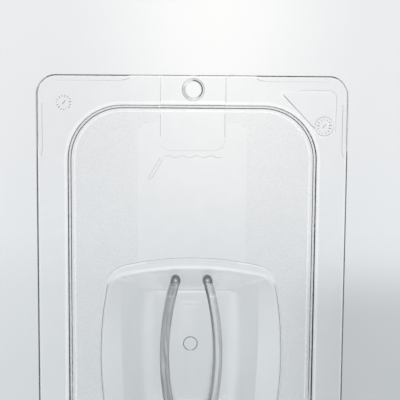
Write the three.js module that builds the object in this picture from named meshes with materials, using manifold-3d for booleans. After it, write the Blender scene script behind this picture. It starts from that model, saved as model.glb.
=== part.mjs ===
// Third-size food pan cover in clear plastic: a flat rim that rests on the pan, a sunken panel, a finger
// bowl in its middle with two upright grip rails, and a notch insert in one end with a hanging hole.
// Millimetres, +Z up, +Y towards the hanging hole. The origin is the centre of the footprint, on the
// plane that the underside of the bowl rests on.

import * as THREE from 'three';
import { mergeVertices } from 'three/addons/utils/BufferGeometryUtils.js';
import Module from 'manifold-3d';

// ---------------------------------------------------------------------------------------------------------
// Driving dimensions
// ---------------------------------------------------------------------------------------------------------

const LENGTH = 325;
const WIDTH = 176.2;
const RIM_TOP = 28;
const WALL = 1.85;
const RIM_CORNER = 11.5;

// The bead that turns down along the rim's edge
const BEAD_WIDTH = 1.4;
const BEAD_DEPTH = 1.35;
const EDGE_LEAN = 0.3;
const EDGE_ROUND = 2.3;
const BEAD_ROUND = 0.55;
const BEAD_INNER_ROUND = 0.4;

const LEDGE_WIDTH = 3.6;
const LEDGE_DEPTH = 0.6;
const LEDGE_ALONG_END = 54;
const LEDGE_ALONG_SIDE = 44;

const RECESS_HALF_WIDTH = 70.6;
const RECESS_HALF_LENGTH = 145.4;
const RECESS_CORNER = 31;
const RECESS_DEPTH = 7.15;

// The recess wall: how far each face leans in from top to bottom, and the rounds at its ends
const WALL_LEAN = 3.57;
const WALL_LEAN_BELOW = 1.85;
const WALL_OFFSET_BELOW = 0.23;
const SHOULDER_ROUND = 4.6;
const SHOULDER_ROUND_BELOW = 1.3;
const FOOT_ROUND = 1.5;
const FOOT_ROUND_BELOW = 4.2;

// The panel's opening for the bowl, the bowl's lip over and under, and its floor
const OPENING = { halfWidth: 53.2, halfLength: 57.6, sideBulge: 7.4, endBulge: 8.5, corner: 14.3 };
const LIP = { halfWidth: 51.3, halfLength: 50.7, sideBulge: 6.2, endBulge: 7.2, corner: 9 };
const LIP_BELOW = { halfWidth: 52.4, halfLength: 51.6, sideBulge: 6.2, endBulge: 7.2, corner: 9.9 };
const FLOOR = { halfWidth: 24.2, halfLength: 34.3, sideBulge: 0, endBulge: 0, corner: 4 };

// How much of the bowl's slope its upper and lower rounds take up, and how far they run on past it
const SHOULDER_SHARE = 0.08;
const FOOT_SHARE = 0.05;
const LIP_ROUND = 1.2;
const FLOOR_ROUND = 1;
const FLOOR_ROUND_BELOW = 0.6;

const RAIL_WIDTH = 5.3;
const RAIL_TOP = 22.5;
const RAIL_HALF_LENGTH = 44.2;
const RAIL_MIDDLE_X = 15.5;
const RAIL_END_X = 9.2;
const RAIL_END_RADIUS = 2.8;

const NOTCH_HALF_WIDTH = 18.6;
const NOTCH_LENGTH = 43;
const NOTCH_CORNER = 6.7;

const HOLE_RADIUS = 4.35;
const HOLE_FROM_END = 8.5;
const COLLAR_RADIUS = 6.4;
const COLLAR_PROUD = 1.2;
const COLLAR_EDGE = 0.4;
const COLLAR_INNER_EDGE = 0.3;

const GAP = 0.3;

// How far a section carries on along the flat past its last corner, and a cutter past what it cuts
const RUN_ON = 4;
const OVERRUN = 5;

const SIDE_STEPS = 6;
const CORNER_STEPS = 6;
const END_STEPS = 6;
const RAIL_STEPS = 16;
const ROUND_STEPS = 2;
const POST_STEPS = 24;
const HOLE_STEPS = 32;
const NEARLY_STRAIGHT = 1e5;

// Heights that follow from the driving dimensions
const PANEL_TOP = RIM_TOP - RECESS_DEPTH;
const PANEL_BOTTOM = PANEL_TOP - WALL;
const RIM_BOTTOM = RIM_TOP - WALL;
const FLOOR_TOP = WALL;
const HOLE_CENTRE_Y = LENGTH / 2 - HOLE_FROM_END;

// ---------------------------------------------------------------------------------------------------------
// Outlines, seen from above
// ---------------------------------------------------------------------------------------------------------

function arcRadius(halfChord, bulge) {
  return bulge > 0 ? (halfChord ** 2 + bulge ** 2) / (2 * bulge) : NEARLY_STRAIGHT;
}

function arcPoints(centre, radius, from, to, steps) {
  return Array.from({ length: steps + 1 }, (_, i) => {
    const angle = from + ((to - from) * i) / steps;
    return new THREE.Vector2(centre.x + radius * Math.cos(angle), centre.y + radius * Math.sin(angle));
  });
}

// The first quadrant of an outline, from the +X axis to the +Y axis: a side arc, a corner and an end arc.
function quadrant({ halfWidth, halfLength, sideBulge, endBulge, corner }) {
  const sideRadius = arcRadius(halfLength, sideBulge);
  const endRadius = arcRadius(halfWidth, endBulge);
  const sideCentre = new THREE.Vector2(halfWidth - sideRadius, 0);
  const endCentre = new THREE.Vector2(0, halfLength - endRadius);

  // The corner's centre is where the two arcs meet once both are drawn in by the corner's radius.
  const a = sideRadius - corner;
  const b = endRadius - corner;
  const between = endCentre.clone().sub(sideCentre);
  const distance = between.length();
  const along = (a ** 2 - b ** 2 + distance ** 2) / (2 * distance);
  const across = Math.sqrt(a ** 2 - along ** 2);
  const unit = between.divideScalar(distance);
  const cornerCentre = new THREE.Vector2(
    sideCentre.x + unit.x * along - unit.y * across,
    sideCentre.y + unit.y * along + unit.x * across,
  );

  const sideAngle = Math.atan2(cornerCentre.y - sideCentre.y, cornerCentre.x - sideCentre.x);
  const endAngle = Math.atan2(cornerCentre.y - endCentre.y, cornerCentre.x - endCentre.x);
  return [
    ...arcPoints(sideCentre, sideRadius, 0, sideAngle, SIDE_STEPS),
    ...arcPoints(cornerCentre, corner, sideAngle, endAngle, CORNER_STEPS).slice(1),
    ...arcPoints(endCentre, endRadius, endAngle, Math.PI / 2, END_STEPS).slice(1),
  ];
}

// The whole outline, anticlockwise. Every outline has the same number of points.
function outline(shape) {
  const first = quadrant(shape);
  const mirror = (points, x, y) => points.map((p) => new THREE.Vector2(p.x * x, p.y * y));
  const half = [...first, ...mirror(first, -1, 1).reverse().slice(1)];
  return [...half, ...mirror(half, 1, -1).reverse().slice(1, -1)];
}

function grown(shape, by) {
  return {
    ...shape,
    halfWidth: shape.halfWidth + by,
    halfLength: shape.halfLength + by,
    corner: shape.corner + by,
  };
}

// A shape part of the way from one to the other.
function between(from, to, share) {
  const made = {};
  for (const key of Object.keys(from)) {
    made[key] = from[key] + (to[key] - from[key]) * share;
  }
  return made;
}

const RIM = {
  halfWidth: WIDTH / 2,
  halfLength: LENGTH / 2,
  sideBulge: 0,
  endBulge: 0,
  corner: RIM_CORNER,
};
const RECESS = {
  halfWidth: RECESS_HALF_WIDTH,
  halfLength: RECESS_HALF_LENGTH,
  sideBulge: 0,
  endBulge: 0,
  corner: RECESS_CORNER,
};

// ---------------------------------------------------------------------------------------------------------
// Solids
// ---------------------------------------------------------------------------------------------------------

const wasm = await Module();
wasm.setup();

function toSolid(geometry) {
  const bare = geometry.index ? geometry.toNonIndexed() : geometry.clone();
  for (const name of Object.keys(bare.attributes)) {
    if (name !== 'position') {
      bare.deleteAttribute(name);
    }
  }
  const merged = mergeVertices(bare);
  return new wasm.Manifold(new wasm.Mesh({
    numProp: 3,
    vertProperties: new Float32Array(merged.attributes.position.array),
    triVerts: new Uint32Array(merged.index.array),
  }));
}

function toGeometry(solid) {
  const { vertProperties, triVerts } = solid.getMesh();
  const geometry = new THREE.BufferGeometry();
  geometry.setAttribute('position', new THREE.BufferAttribute(vertProperties, 3));
  geometry.setIndex(new THREE.BufferAttribute(triVerts, 1));
  return geometry;
}

// A skin over rings of points, each ring joined to the next. A ring is [outline, height]. An open run of
// rings is closed with a fan at each end; a run that closes on itself makes a body with a hole through it.
function loft(rings, closesOnItself) {
  const loops = rings.map(([shape, z]) => outline(shape).map((p) => new THREE.Vector3(p.x, p.y, z)));
  const count = loops[0].length;
  const positions = loops.flat().flatMap((p) => p.toArray());
  const index = [];
  const joins = closesOnItself ? loops.length : loops.length - 1;
  for (let j = 0; j < joins; j += 1) {
    const k = (j + 1) % loops.length;
    for (let i = 0; i < count; i += 1) {
      const n = (i + 1) % count;
      index.push(j * count + i, j * count + n, k * count + n);
      index.push(j * count + i, k * count + n, k * count + i);
    }
  }
  if (!closesOnItself) {
    const last = (loops.length - 1) * count;
    for (let i = 1; i < count - 1; i += 1) {
      index.push(0, i + 1, i);
      index.push(last, last + i, last + i + 1);
    }
  }
  const geometry = new THREE.BufferGeometry();
  geometry.setAttribute('position', new THREE.Float32BufferAttribute(positions, 3));
  geometry.setIndex(index);
  return toSolid(geometry);
}

function prism(shape, bottom, top) {
  const geometry = new THREE.ExtrudeGeometry(shape, { depth: top - bottom, bevelEnabled: false });
  geometry.translate(0, 0, bottom);
  return toSolid(geometry);
}

// ---------------------------------------------------------------------------------------------------------
// The moulding: rim, recess wall and panel, with an opening for the finger bowl
// ---------------------------------------------------------------------------------------------------------

// An open section of [reach, height] corners, with each inner corner turned into an arc.
function rounded(section, radii) {
  const corners = section.map(([reach, z]) => new THREE.Vector2(reach, z));
  const made = [section[0]];
  for (let i = 1; i < corners.length - 1; i += 1) {
    const back = corners[i - 1].clone().sub(corners[i]).normalize();
    const on = corners[i + 1].clone().sub(corners[i]).normalize();
    const half = Math.acos(back.dot(on)) / 2;
    const centre = back.clone().add(on).setLength(radii[i] / Math.sin(half));
    const first = back.multiplyScalar(radii[i] / Math.tan(half)).sub(centre);
    const last = on.multiplyScalar(radii[i] / Math.tan(half)).sub(centre);
    const turn = Math.PI - 2 * half;
    for (let step = 0; step <= ROUND_STEPS; step += 1) {
      const angle = (turn * step) / ROUND_STEPS;
      const point = first.clone().multiplyScalar(Math.sin(turn - angle) / Math.sin(turn));
      point.addScaledVector(last, Math.sin(angle) / Math.sin(turn)).add(centre).add(corners[i]);
      made.push([point.x, point.y]);
    }
  }
  return [...made, section[section.length - 1]];
}

// The rings that a section makes when it runs along an outline.
function swept(shape, section) {
  return section.map(([reach, z]) => [grown(shape, reach), z]);
}

function lidSkin() {
  const beadBottom = RIM_BOTTOM - BEAD_DEPTH;
  const wallTop = WALL_OFFSET_BELOW;
  const wallFoot = wallTop - WALL_LEAN_BELOW;
  const edge = rounded([
    [-BEAD_WIDTH - RUN_ON, RIM_BOTTOM],
    [-BEAD_WIDTH, RIM_BOTTOM],
    [-BEAD_WIDTH, beadBottom],
    [0, beadBottom],
    [-EDGE_LEAN, RIM_TOP],
    [-RUN_ON, RIM_TOP],
  ], [0, BEAD_INNER_ROUND, BEAD_ROUND, BEAD_ROUND, EDGE_ROUND, 0]);
  const upper = rounded([
    [RUN_ON, RIM_TOP],
    [0, RIM_TOP],
    [-WALL_LEAN, PANEL_TOP],
    [-WALL_LEAN - RUN_ON, PANEL_TOP],
  ], [0, SHOULDER_ROUND, FOOT_ROUND, 0]);
  const lower = rounded([
    [wallFoot - RUN_ON, PANEL_BOTTOM],
    [wallFoot, PANEL_BOTTOM],
    [wallTop, RIM_BOTTOM],
    [wallTop + RUN_ON, RIM_BOTTOM],
  ], [0, FOOT_ROUND_BELOW, SHOULDER_ROUND_BELOW, 0]);
  return loft([
    ...swept(RIM, edge),
    ...swept(RECESS, upper),
    [OPENING, PANEL_TOP],
    [OPENING, PANEL_BOTTOM],
    ...swept(RECESS, lower),
  ], true);
}

// The strip along the edge at each corner that is stepped down from the rim, as one cutter.
function cornerLedges() {
  const inner = new THREE.Shape(outline(grown(RIM, -LEDGE_WIDTH)));
  const inside = prism(inner, RIM_BOTTOM, RIM_TOP + 2 * OVERRUN);
  const alongEnd = LEDGE_ALONG_END + OVERRUN;
  const alongSide = LEDGE_ALONG_SIDE + OVERRUN;
  const height = LEDGE_DEPTH + OVERRUN;
  const block = new THREE.BoxGeometry(alongEnd, alongSide, height);
  const corners = [];
  for (const x of [-1, 1]) {
    for (const y of [-1, 1]) {
      const placed = block.clone().translate(
        x * (WIDTH / 2 + OVERRUN - alongEnd / 2),
        y * (LENGTH / 2 + OVERRUN - alongSide / 2),
        RIM_TOP - LEDGE_DEPTH + height / 2,
      );
      corners.push(toSolid(placed));
    }
  }
  return corners.reduce((all, corner) => all.add(corner)).subtract(inside);
}

// The plan shape of the insert in the +Y end, running out past the rim's edge.
function notchShape(margin) {
  const x = NOTCH_HALF_WIDTH + margin;
  const near = LENGTH / 2 - NOTCH_LENGTH - margin;
  const far = LENGTH / 2 + OVERRUN;
  const corner = NOTCH_CORNER + margin;
  const shape = new THREE.Shape();
  shape.moveTo(x, far);
  shape.lineTo(-x, far);
  shape.lineTo(-x, near + corner);
  shape.absarc(-x + corner, near + corner, corner, Math.PI, 1.5 * Math.PI);
  shape.absarc(x - corner, near + corner, corner, 1.5 * Math.PI, 2 * Math.PI);
  shape.lineTo(x, far);
  return shape;
}

function notchPrism(margin) {
  return prism(notchShape(margin), PANEL_BOTTOM - OVERRUN, RIM_TOP + OVERRUN);
}

function holeCutter(radius) {
  const cylinder = new THREE.CylinderGeometry(radius, radius, 2 * OVERRUN, HOLE_STEPS);
  cylinder.rotateX(Math.PI / 2);
  cylinder.translate(0, HOLE_CENTRE_Y, RIM_TOP);
  return toSolid(cylinder);
}

// The ring round the hanging hole, which stands proud of the rim above and below.
function collar() {
  const top = RIM_TOP + COLLAR_PROUD;
  const bottom = RIM_BOTTOM - COLLAR_PROUD;
  const profile = [
    new THREE.Vector2(HOLE_RADIUS, bottom),
    new THREE.Vector2(COLLAR_RADIUS, bottom),
    new THREE.Vector2(COLLAR_RADIUS, top - COLLAR_EDGE),
    new THREE.Vector2(COLLAR_RADIUS - COLLAR_EDGE, top),
    new THREE.Vector2(HOLE_RADIUS + COLLAR_INNER_EDGE, top),
    new THREE.Vector2(HOLE_RADIUS, top - COLLAR_INNER_EDGE),
    new THREE.Vector2(HOLE_RADIUS, bottom),
  ];
  const geometry = new THREE.LatheGeometry(profile, HOLE_STEPS);
  geometry.rotateX(Math.PI / 2);
  geometry.translate(0, HOLE_CENTRE_Y, 0);
  return geometry;
}

// ---------------------------------------------------------------------------------------------------------
// The finger bowl and its rails
// ---------------------------------------------------------------------------------------------------------

function bowl() {
  const flange = grown(OPENING, -GAP);
  const shoulder = between(LIP, FLOOR, SHOULDER_SHARE);
  const foot = between(FLOOR, LIP, FOOT_SHARE);
  const slope = PANEL_TOP - FLOOR_TOP;
  return loft([
    [grown(FLOOR, -FLOOR_ROUND_BELOW), 0],
    [between(grown(FLOOR, FLOOR_ROUND_BELOW), LIP_BELOW, FOOT_SHARE), PANEL_BOTTOM * FOOT_SHARE],
    [LIP_BELOW, PANEL_BOTTOM],
    [flange, PANEL_BOTTOM],
    [flange, PANEL_TOP],
    [grown(LIP, LIP_ROUND), PANEL_TOP],
    [shoulder, PANEL_TOP - slope * SHOULDER_SHARE],
    [foot, FLOOR_TOP + slope * FOOT_SHARE],
    [grown(FLOOR, -FLOOR_ROUND), FLOOR_TOP],
  ], false);
}

// The space over the bowl's inner face, drawn in by the gap, which trims the feet of the rails.
function bowlSpace() {
  const slope = PANEL_TOP - FLOOR_TOP;
  const foot = grown(between(FLOOR, LIP, FOOT_SHARE), -GAP);
  const shoulder = grown(between(LIP, FLOOR, SHOULDER_SHARE), -GAP);
  return loft([
    [grown(FLOOR, -FLOOR_ROUND - GAP), FLOOR_TOP + GAP],
    [foot, FLOOR_TOP + slope * FOOT_SHARE + GAP],
    [shoulder, PANEL_TOP - slope * SHOULDER_SHARE + GAP],
    [shoulder, RIM_TOP + OVERRUN],
  ], false);
}

// A rail curves outwards in the middle and ends in a round post. Side is -1 for left and 1 for right.
function railShape(side) {
  const bulge = RAIL_MIDDLE_X - RAIL_END_X;
  const radius = arcRadius(RAIL_HALF_LENGTH, bulge);
  const reach = Math.asin(RAIL_HALF_LENGTH / radius);
  const centre = new THREE.Vector2(RAIL_MIDDLE_X - radius, 0);
  const outer = arcPoints(centre, radius + RAIL_WIDTH / 2, -reach, reach, RAIL_STEPS);
  const inner = arcPoints(centre, radius - RAIL_WIDTH / 2, reach, -reach, RAIL_STEPS);
  const points = [...outer, ...inner].map((p) => new THREE.Vector2(p.x * side, p.y));
  return new THREE.Shape(side > 0 ? points : points.reverse());
}

function rail(side) {
  let solid = prism(railShape(side), 0, RAIL_TOP);
  for (const end of [-1, 1]) {
    const post = new THREE.CylinderGeometry(RAIL_END_RADIUS, RAIL_END_RADIUS, RAIL_TOP, POST_STEPS);
    post.rotateX(Math.PI / 2);
    post.translate(side * RAIL_END_X, end * RAIL_HALF_LENGTH, RAIL_TOP / 2);
    solid = solid.add(toSolid(post));
  }
  return solid.intersect(bowlSpace());
}

// ---------------------------------------------------------------------------------------------------------
// Assembly
// ---------------------------------------------------------------------------------------------------------

const clearPlastic = new THREE.MeshStandardMaterial({
  color: 0xe9ecee,
  roughness: 0.08,
  metalness: 0,
  transparent: true,
  opacity: 0.35,
});

function named(name, geometry) {
  const mesh = new THREE.Mesh(geometry, clearPlastic.clone());
  mesh.name = name;
  return mesh;
}

const skin = lidSkin().subtract(cornerLedges());
const cover = new THREE.Group();
cover.add(named('cover_shell', toGeometry(skin.subtract(notchPrism(GAP)))));
cover.add(named('notch_insert', toGeometry(
  skin.intersect(notchPrism(0)).subtract(holeCutter(COLLAR_RADIUS + GAP)),
)));
cover.add(named('hanging_hole_collar', collar()));

const grip = new THREE.Group();
grip.add(named('finger_bowl', toGeometry(bowl())));
grip.add(named('grip_rail_left', toGeometry(rail(-1))));
grip.add(named('grip_rail_right', toGeometry(rail(1))));
cover.add(grip);

export default cover;
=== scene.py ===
"""Clear food pan cover: the looks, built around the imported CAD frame.

Metres, with +Z up and +Y towards the hanging hole.
"""

import math

import bpy
import numpy as np
from mathutils import Matrix, Vector

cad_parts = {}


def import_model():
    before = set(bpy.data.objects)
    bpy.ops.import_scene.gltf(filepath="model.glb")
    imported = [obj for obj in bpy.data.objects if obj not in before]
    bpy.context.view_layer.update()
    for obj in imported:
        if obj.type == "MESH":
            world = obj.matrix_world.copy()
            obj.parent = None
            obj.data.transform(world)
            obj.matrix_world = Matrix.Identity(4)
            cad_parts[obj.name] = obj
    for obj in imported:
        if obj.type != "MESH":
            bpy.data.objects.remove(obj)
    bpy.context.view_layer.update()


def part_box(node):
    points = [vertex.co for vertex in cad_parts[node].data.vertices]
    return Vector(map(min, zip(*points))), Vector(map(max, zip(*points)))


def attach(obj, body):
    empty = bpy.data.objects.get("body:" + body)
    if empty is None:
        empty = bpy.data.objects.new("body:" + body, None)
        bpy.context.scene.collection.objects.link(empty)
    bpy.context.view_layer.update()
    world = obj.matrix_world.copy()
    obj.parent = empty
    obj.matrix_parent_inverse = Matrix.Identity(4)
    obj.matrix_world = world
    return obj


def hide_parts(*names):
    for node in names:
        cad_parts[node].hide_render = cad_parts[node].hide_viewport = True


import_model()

MM = 0.001


def mm(*values):
    return tuple(value * MM for value in values)


# ----------------------------------------------------------------------------------------------------------
# Sizes: the overall ones come from the frame, the rest follow the CAD part
# ----------------------------------------------------------------------------------------------------------

SHELL_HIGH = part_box("cover_shell")[1]
RAIL_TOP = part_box("grip_rail_right")[1].z
COLLAR_LOW, COLLAR_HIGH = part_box("hanging_hole_collar")

HALF_WIDTH = SHELL_HIGH.x
HALF_LENGTH = SHELL_HIGH.y
RIM_TOP = SHELL_HIGH.z
WALL = 1.85 * MM
RECESS_DEPTH = 7.15 * MM
PANEL_TOP = RIM_TOP - RECESS_DEPTH
PANEL_BOTTOM = PANEL_TOP - WALL
RIM_BOTTOM = RIM_TOP - WALL
FLOOR_TOP = WALL

# The rim's outer edge, with the bead that turns down from it
RIM_CORNER = 11.5 * MM
BEAD_WIDTH = 1.4 * MM
BEAD_DEPTH = 1.35 * MM
EDGE_LEAN = 0.3 * MM
EDGE_ROUND = 2.3 * MM
BEAD_ROUND = 0.55 * MM
BEAD_INNER_ROUND = 0.4 * MM

# The stepped strips at the rim's corners
LEDGE_WIDTH = 3.6 * MM
LEDGE_DEPTH = 0.35 * MM
LEDGE_SLOPE = math.tan(math.radians(16))
LEDGE_STEP_LEAN = 0.2 * MM
LEDGE_OVERLAP = 0.05 * MM
LEDGE_ALONG_END = 54 * MM
LEDGE_ALONG_SIDE = 44 * MM
LEDGE_SLANT = 6 * MM

# The recess's wall: how far it leans in on its way down, how far out its underside starts, and its rounds
WALL_LEAN = 3.57 * MM
WALL_LEAN_BELOW = 1.85 * MM
WALL_OFFSET_BELOW = 0.23 * MM
SHOULDER_ROUND = 4.6 * MM
SHOULDER_ROUND_BELOW = 1.3 * MM
FOOT_ROUND = 1.5 * MM
FOOT_ROUND_BELOW = 4.2 * MM
INSERT_SHOULDER_ROUND = 6.0 * MM

# How far the flat faces run on past the rounds of the edge and of the recess
FLAT_AFTER_BEAD = 2 * MM
FLAT_AFTER_EDGE = 5 * MM
FLAT_BEFORE_SHOULDER = 6 * MM
FLAT_AFTER_FOOT = 3 * MM
FLAT_BEFORE_FOOT_BELOW = 4 * MM
FLAT_AFTER_SHOULDER_BELOW = 3 * MM

# The gaps round the bowl and the collar, and round the insert
SEAM = 0.12 * MM
NOTCH_SEAM = 0.22 * MM

# The grip rails: curved, with a post at each end and a stepped sole where the bowl's end slopes up
RAIL_WIDTH = 5.3 * MM
RAIL_HALF_LENGTH = 44.2 * MM
RAIL_MIDDLE_X = 15.5 * MM
RAIL_END_X = 9.2 * MM
RAIL_END_RADIUS = 2.8 * MM
RAIL_CLEARANCE = 0.3 * MM
RAIL_SOLES = (mm(34, 9.8), mm(40.8, 17.2))
RAIL_RISER_LEAN = math.tan(math.radians(15))
RAIL_BEVEL = 0.8 * MM
RAIL_BEVEL_SEGMENTS = 4
RAIL_BEVEL_ANGLE = math.radians(50)

# The channel round the bowl, as distances in from the flange and out from the channel's inner outline
CHANNEL_DEPTH = 0.2 * MM
CHANNEL_OUTER_TOP = 0.3 * MM
CHANNEL_OUTER_BOTTOM = 0.6 * MM
CHANNEL_INNER_BOTTOM = 0.25 * MM

# The bowl's rounds, each as its reach on the sides and on the ends
LIP_ROUND = mm(0.35, 3.0)
LIP_ROUND_BELOW = mm(0.4, 2.6)
FLOOR_ROUND = mm(8, 2)
FLOOR_ROUND_BELOW = mm(7, 1.5)
FLOOR_GROWTH_BELOW = 0.4 * MM

# The notch in the shell that the insert fills
NOTCH_HALF_WIDTH = 18.6 * MM
NOTCH_LENGTH = 43 * MM
NOTCH_CORNER = 6.7 * MM

# The hanging hole and its collar, with the collar's rounds from its outer foot over its top to its inner foot
HOLE_RADIUS = 4.35 * MM
HOLE_Y = (COLLAR_LOW.y + COLLAR_HIGH.y) / 2
COLLAR_RADIUS = (COLLAR_HIGH.x - COLLAR_LOW.x) / 2
COLLAR_OUTER_ROUNDS = mm(0.5, 0.7)
COLLAR_INNER_ROUNDS = mm(0.6, 0.5)

# How far cutters run past what they cut
OVERRUN = 5 * MM
LEDGE_OVERRUN = 3 * MM
LEDGE_OVERRUN_ABOVE = 2 * MM
CORNER_OVERRUN = 10 * MM
HOLE_OVERRUN = 15 * MM

# The radius of an arc without a bulge, and the number of steps in each kind of arc
NEARLY_STRAIGHT = 100.0
SIDE_STEPS, CORNER_STEPS, END_STEPS = 20, 20, 20
FILLET_STEPS = 6
ARC_STEPS = 10
CIRCLE_STEPS = 48
HOLE_STEPS = 96
NOTCH_STEPS = 16
RAIL_STEPS = 48
POST_STEPS = 64

# How far beyond a round a further ring keeps the flat face's shading flat
SUPPORT = 0.25 * MM
SHARP_ANGLE = math.radians(32)


def shape(half_width, half_length, corner, side_bulge=0.0, end_bulge=0.0):
    return dict(half_width=half_width, half_length=half_length, corner=corner,
                side_bulge=side_bulge, end_bulge=end_bulge)


RIM = shape(HALF_WIDTH, HALF_LENGTH, RIM_CORNER)
RECESS = shape(70.6 * MM, 145.4 * MM, 31 * MM)
OPENING = shape(53.2 * MM, 57.6 * MM, 14.3 * MM, side_bulge=7.4 * MM, end_bulge=8.5 * MM)
CHANNEL = shape(52.2 * MM, 54.9 * MM, 12.5 * MM, side_bulge=6.8 * MM, end_bulge=8 * MM)
LIP = shape(51.3 * MM, 50.7 * MM, 9 * MM, side_bulge=6.2 * MM, end_bulge=7.2 * MM)
LIP_BELOW = shape(52.4 * MM, 51.5 * MM, 9.9 * MM, side_bulge=6.2 * MM, end_bulge=7.2 * MM)
FLOOR = shape(24.2 * MM, 34.3 * MM, 4 * MM)
FLOOR_MIDDLE = shape(12 * MM, 30 * MM, 1 * MM)

# ----------------------------------------------------------------------------------------------------------
# Outlines and lofts
# ----------------------------------------------------------------------------------------------------------


def arc_radius(half_chord, bulge):
    return (half_chord**2 + bulge**2) / (2 * bulge) if bulge else NEARLY_STRAIGHT


def arc(centre, radius, start, stop, steps):
    angles = np.linspace(start, stop, steps + 1)
    return np.stack([centre[0] + radius * np.cos(angles), centre[1] + radius * np.sin(angles)], axis=1)


def circle(centre, radius, steps=CIRCLE_STEPS):
    return arc(centre, radius, 0, 2 * math.pi, steps)[:-1]


def outline(s):
    """The whole outline of a shape, anticlockwise from above, with the same number of points for any shape."""
    side_radius = arc_radius(s["half_length"], s["side_bulge"])
    end_radius = arc_radius(s["half_width"], s["end_bulge"])
    side_centre = np.array([s["half_width"] - side_radius, 0.0])
    end_centre = np.array([0.0, s["half_length"] - end_radius])
    a, b = side_radius - s["corner"], end_radius - s["corner"]
    between = end_centre - side_centre
    distance = np.linalg.norm(between)
    unit = between / distance
    along = (a**2 - b**2 + distance**2) / (2 * distance)
    across = math.sqrt(a**2 - along**2)
    corner_centre = side_centre + unit * along + np.array([-unit[1], unit[0]]) * across
    side_angle = math.atan2(*(corner_centre - side_centre)[::-1])
    end_angle = math.atan2(*(corner_centre - end_centre)[::-1])
    quarter = np.concatenate([
        arc(side_centre, side_radius, 0, side_angle, SIDE_STEPS),
        arc(corner_centre, s["corner"], side_angle, end_angle, CORNER_STEPS)[1:],
        arc(end_centre, end_radius, end_angle, math.pi / 2, END_STEPS)[1:],
    ])
    half = np.concatenate([quarter, (quarter * [-1, 1])[::-1][1:]])
    return np.concatenate([half, (half * [1, -1])[::-1][1:-1]])


def grown(s, by):
    return {**s, "half_width": s["half_width"] + by, "half_length": s["half_length"] + by,
            "corner": s["corner"] + by}


def ring(s, z):
    points = outline(s)
    return np.column_stack([points, np.full(len(points), z)])


def rounded(section, radii):
    """An open section of (reach, height) corners with each inner corner turned into a true arc."""
    made = [np.array(section[0])]
    for i in range(1, len(section) - 1):
        corner = np.array(section[i])
        before = np.array(section[i - 1]) - corner
        after = np.array(section[i + 1]) - corner
        before = before / np.linalg.norm(before)
        after = after / np.linalg.norm(after)
        half = math.acos(np.clip(before @ after, -1, 1)) / 2
        reach = radii[i] / math.tan(half)
        middle = (before + after) / np.linalg.norm(before + after) * radii[i] / math.sin(half)
        start, stop = before * reach - middle, after * reach - middle
        turn = math.pi - 2 * half
        for step in range(ARC_STEPS + 1):
            a, b = math.sin(turn * (1 - step / ARC_STEPS)), math.sin(turn * step / ARC_STEPS)
            made.append(corner + middle + (start * a + stop * b) / math.sin(turn))
    made.append(np.array(section[-1]))
    return made


def swept(base, section):
    """Rings along a section of (reach outwards from the base outline, height)."""
    return [ring(grown(base, reach), z) for reach, z in section]


def filleted(rings, radii):
    """Rings with a round in place of each one: each ring is a corner of the section, and its radius is how far
    the round reaches along the section to either side. A radius of 0 leaves the corner as it is."""
    made = []
    for i, (corner, radius) in enumerate(zip(rings, radii)):
        before, after = rings[i - 1], rings[(i + 1) % len(rings)]
        if np.all(np.asarray(radius) <= 0):
            made.append(corner)
            continue
        to_before = before - corner
        to_after = after - corner
        length_before = np.linalg.norm(to_before, axis=1, keepdims=True)
        length_after = np.linalg.norm(to_after, axis=1, keepdims=True)
        start = corner + to_before * (radius / length_before)
        stop = corner + to_after * (radius / length_after)
        made.append(start + to_before / length_before * SUPPORT)
        for step in range(FILLET_STEPS + 1):
            t = step / FILLET_STEPS
            made.append((1 - t)**2 * start + 2 * t * (1 - t) * corner + t**2 * stop)
        made.append(stop + to_after / length_after * SUPPORT)
    return made


def loft(name, rings, closes_on_itself):
    count = len(rings[0])
    vertices = np.concatenate(rings)
    faces = []
    joins = len(rings) if closes_on_itself else len(rings) - 1
    for j in range(joins):
        k = (j + 1) % len(rings)
        for i in range(count):
            n = (i + 1) % count
            faces.append((j * count + i, j * count + n, k * count + n, k * count + i))
    if not closes_on_itself:
        last = (len(rings) - 1) * count
        faces.append(tuple(range(count - 1, -1, -1)))
        faces.append(tuple(range(last, last + count)))
    return mesh_object(name, vertices, faces)


def mesh_object(name, vertices, faces):
    mesh = bpy.data.meshes.new(name)
    mesh.from_pydata([tuple(v) for v in vertices], [], faces)
    mesh.validate()
    mesh.update()
    made = bpy.data.objects.new(name, mesh)
    bpy.context.scene.collection.objects.link(made)
    return made


def prism(name, points, bottom, top):
    count = len(points)
    vertices = [(x, y, z) for z in (bottom, top) for x, y in points]
    sides = [(i, (i + 1) % count, count + (i + 1) % count, count + i) for i in range(count)]
    caps = [tuple(range(count - 1, -1, -1)), tuple(range(count, 2 * count))]
    return mesh_object(name, vertices, sides + caps)


def cut(target, tool, operation):
    """Cuts the tool out of the target, or joins or crosses the two, and removes the tool."""
    modifier = target.modifiers.new("cut", "BOOLEAN")
    modifier.operation = operation
    modifier.solver = "MANIFOLD"
    modifier.object = tool
    applied(target)
    bpy.data.objects.remove(tool)
    return target


def applied(made):
    """Replaces the mesh by what its modifiers make of it."""
    graph = bpy.context.evaluated_depsgraph_get()
    mesh = bpy.data.meshes.new_from_object(made.evaluated_get(graph))
    made.modifiers.clear()
    made.data = mesh
    return made


def joined(parts):
    """One object from several that don't touch."""
    vertices, faces = [], []
    for part in parts:
        start = len(vertices)
        vertices += [tuple(part.matrix_world @ v.co) for v in part.data.vertices]
        faces += [tuple(start + i for i in polygon.vertices) for polygon in part.data.polygons]
        bpy.data.objects.remove(part)
    return mesh_object("joined", vertices, faces)


def smooth(made):
    """Smooth shading, with a sharp edge wherever faces meet at more than the angle."""
    made.data.shade_smooth()
    made.data.set_sharp_from_angle(angle=SHARP_ANGLE)


# ----------------------------------------------------------------------------------------------------------
# Materials
# ----------------------------------------------------------------------------------------------------------


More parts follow.
